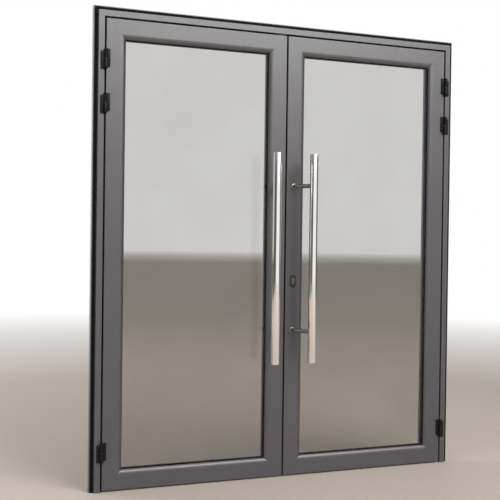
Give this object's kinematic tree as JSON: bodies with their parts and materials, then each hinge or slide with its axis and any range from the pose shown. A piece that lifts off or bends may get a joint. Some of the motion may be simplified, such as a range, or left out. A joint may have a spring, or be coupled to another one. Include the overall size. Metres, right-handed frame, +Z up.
{
  "type": "glass entrance door",
  "caption": "Double-leaf glazed entrance door in its grey aluminium frame, with tall stainless pull bars, surface barrel hinges and a key lock.",
  "frame": {"origin": "floor level, middle of the doorway, on the outer face of the frame", "axes": "+X to the right seen from outside, +Y into the building, +Z up"},
  "size_m": [1.9, 0.2194, 2.202],
  "materials": {
    "powder_coat": "satin powder coat",
    "door_glass": "clear",
    "rubber_seal": "matt",
    "plain_aluminium": "mill",
    "hinge_black": "satin black",
    "nylon": "matt",
    "bristle": "matt",
    "stainless": "brushed",
    "lock_steel": "zinc plated",
    "nickel": "satin nickel",
    "escutcheon_black": "satin black"
  },
  "bodies": {
    "frame": {"left_jamb": "powder_coat", "right_jamb": "powder_coat", "frame_head": "powder_coat", "frame_corner_cleats": "plain_aluminium", "frame_stop_gasket": "rubber_seal", "frame_edge_gaskets": "rubber_seal", "head_bolt_keeper": "lock_steel", "left_hinge_frame_halves": "hinge_black", "right_hinge_frame_halves": "hinge_black", "hinge_pins": "lock_steel", "hinge_bushes": "nylon", "frame_screws": "hinge_black"},
    "left_leaf": {"left_hinge_stile": "powder_coat", "left_meeting_stile": "powder_coat", "left_top_rail": "powder_coat", "left_bottom_rail": "powder_coat", "left_corner_cleats": "plain_aluminium", "left_glass_panes": "door_glass", "left_pane_spacer": "plain_aluminium", "left_glazing_gaskets": "rubber_seal", "left_glazing_beads": "powder_coat", "left_setting_blocks": "nylon", "left_hinge_leaf_halves": "hinge_black", "left_leaf_screws": "hinge_black", "left_pull_bar": "stainless", "left_pull_posts": "stainless", "left_pull_bolts": "stainless", "left_meeting_seal": "rubber_seal", "left_bottom_brush": "bristle", "strike_plate": "lock_steel", "flush_bolt_cases": "lock_steel"},
    "right_leaf": {"right_hinge_stile": "powder_coat", "right_meeting_stile": "powder_coat", "right_top_rail": "powder_coat", "right_bottom_rail": "powder_coat", "right_corner_cleats": "plain_aluminium", "right_glass_panes": "door_glass", "right_pane_spacer": "plain_aluminium", "right_glazing_gaskets": "rubber_seal", "right_glazing_beads": "powder_coat", "right_setting_blocks": "nylon", "right_hinge_leaf_halves": "hinge_black", "right_leaf_screws": "hinge_black", "right_pull_bar": "stainless", "right_pull_posts": "stainless", "right_pull_bolts": "stainless", "right_meeting_seal": "rubber_seal", "right_bottom_brush": "bristle", "lock_case": "lock_steel", "lock_face_plate": "lock_steel", "lock_cylinder": "nickel", "lock_escutcheons": "escutcheon_black", "cylinder_screw": "lock_steel"},
    "deadbolt": {"deadbolt": "lock_steel"},
    "key_plug": {"cylinder_plug": "nickel", "thumb_turn": "nickel"},
    "top_flush_bolt": {"top_flush_bolt": "lock_steel"},
    "bottom_flush_bolt": {"bottom_flush_bolt": "lock_steel"}
  },
  "joints": [
    {"name": "left_leaf_hinge", "type": "hinge", "parent": "frame", "child": "left_leaf", "pos_m": [-0.898, -0.01, 0], "axis": [0, 0, -1], "range_deg": [0, 105]},
    {"name": "right_leaf_hinge", "type": "hinge", "parent": "frame", "child": "right_leaf", "pos_m": [0.898, -0.01, 0], "axis": [0, 0, 1], "range_deg": [0, 105]},
    {"name": "key_turn", "type": "hinge", "parent": "right_leaf", "child": "key_plug", "pos_m": [0.043, 0.0325, 0.963], "axis": [0, 1, 0], "range_deg": [0, 360]},
    {"name": "deadbolt_slide", "type": "slide", "parent": "right_leaf", "child": "deadbolt", "axis": [-1, 0, 0], "range_m": [0, 0.02]},
    {"name": "top_flush_bolt_slide", "type": "slide", "parent": "left_leaf", "child": "top_flush_bolt", "axis": [0, 0, 1], "range_m": [0, 0.018]},
    {"name": "bottom_flush_bolt_slide", "type": "slide", "parent": "left_leaf", "child": "bottom_flush_bolt", "axis": [0, 0, -1], "range_m": [0, 0.018]}
  ],
  "couplings": [
    {"joint": "key_turn", "follows": "deadbolt_slide", "rad_per_m": 314}
  ]
}
